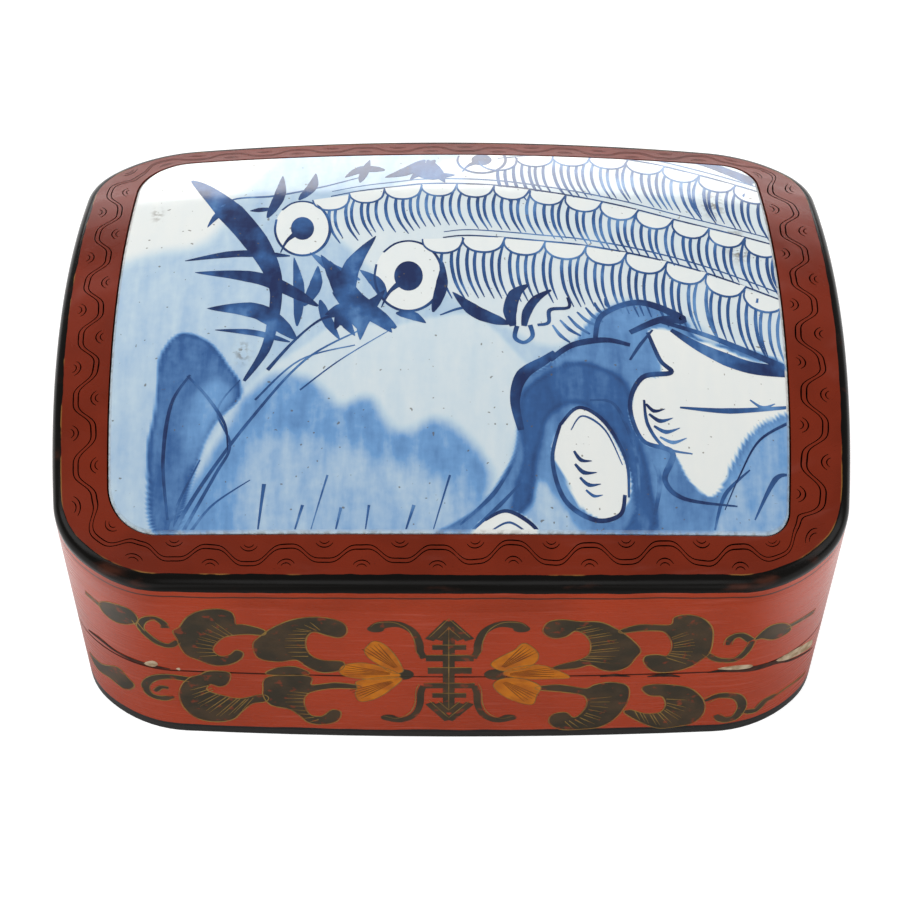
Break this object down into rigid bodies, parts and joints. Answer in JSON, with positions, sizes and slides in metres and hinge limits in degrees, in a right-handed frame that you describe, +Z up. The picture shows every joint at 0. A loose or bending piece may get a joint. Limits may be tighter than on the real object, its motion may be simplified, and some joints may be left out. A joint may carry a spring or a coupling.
{
  "type": "lacquered ink box",
  "caption": "Rounded red lacquer writing box with a domed lift-off lid set with painted porcelain, holding ink stone, ink stick, brush and dropper.",
  "frame": {"origin": "middle of the bottom board's underside, on the surface that the box stands on", "axes": "+X to the right along the length, +Y to the back, +Z up out of the lid"},
  "size_m": [0.18, 0.13, 0.0816],
  "materials": {
    "red_lacquer": "worn gloss red lacquer over wood, painted scrolls",
    "top_lacquer": "red lacquer with an engraved wave, black rounded edge",
    "black_lacquer": "black lacquer over wood",
    "inner_lacquer": "satin black lacquer inside",
    "plain_wood": "oiled hardwood",
    "old_porcelain": "glazed, underglaze blue painting",
    "putty": "lacquer putty, matt",
    "slate": "fine ground slate",
    "dropper_glaze": "white glaze with a blue line",
    "pressed_ink": "pressed soot and glue, satin",
    "bamboo": "polished bamboo",
    "horn": "polished dark horn",
    "hair": "animal hair, stiffened to a point"
  },
  "bodies": {
    "base": {"base_back_board": "red_lacquer", "base_bottom_board": "black_lacquer", "base_corner_back_left": "red_lacquer", "base_corner_back_right": "red_lacquer", "base_corner_front_left": "red_lacquer", "base_corner_front_right": "red_lacquer", "base_front_board": "red_lacquer", "base_left_board": "red_lacquer", "base_right_board": "red_lacquer", "brush_divider": "inner_lacquer", "brush_rest_left": "plain_wood", "brush_rest_right": "plain_wood", "ink_stick_divider": "inner_lacquer", "locating_rim": "inner_lacquer", "stone_divider": "inner_lacquer"},
    "lid": {"lid_back_board": "red_lacquer", "lid_backing_board": "inner_lacquer", "lid_corner_back_left": "red_lacquer", "lid_corner_back_right": "red_lacquer", "lid_corner_front_left": "red_lacquer", "lid_corner_front_right": "red_lacquer", "lid_front_board": "red_lacquer", "lid_left_board": "red_lacquer", "lid_right_board": "red_lacquer", "lid_top_frame": "top_lacquer", "porcelain_shard": "old_porcelain", "shard_bedding_putty": "putty"},
    "ink_stone": {"ink_stone": "slate"},
    "water_dropper": {"water_dropper": "dropper_glaze"},
    "ink_stick": {"ink_stick": "pressed_ink"},
    "brush": {"brush_tail_cap": "horn", "brush_handle": "bamboo", "brush_collar": "horn", "brush_hair": "hair"}
  },
  "joints": [
    {"name": "lid_lift", "type": "slide", "parent": "base", "child": "lid", "axis": [0, 0, 1], "range_m": [0, 0.12]},
    {"name": "ink_stone_lift", "type": "slide", "parent": "base", "child": "ink_stone", "axis": [0, 0, 1], "range_m": [0, 0.03]},
    {"name": "water_dropper_lift", "type": "slide", "parent": "base", "child": "water_dropper", "axis": [0, 0, 1], "range_m": [0, 0.036]},
    {"name": "ink_stick_lift", "type": "slide", "parent": "base", "child": "ink_stick", "axis": [0, 0, 1], "range_m": [0, 0.036]},
    {"name": "brush_lift", "type": "slide", "parent": "base", "child": "brush", "axis": [0, 0, 1], "range_m": [0, 0.048]}
  ],
  "couplings": [
    {"joint": "ink_stone_lift", "follows": "lid_lift", "ratio": 0.25},
    {"joint": "water_dropper_lift", "follows": "lid_lift", "ratio": 0.3},
    {"joint": "ink_stick_lift", "follows": "lid_lift", "ratio": 0.3},
    {"joint": "brush_lift", "follows": "lid_lift", "ratio": 0.4}
  ]
}
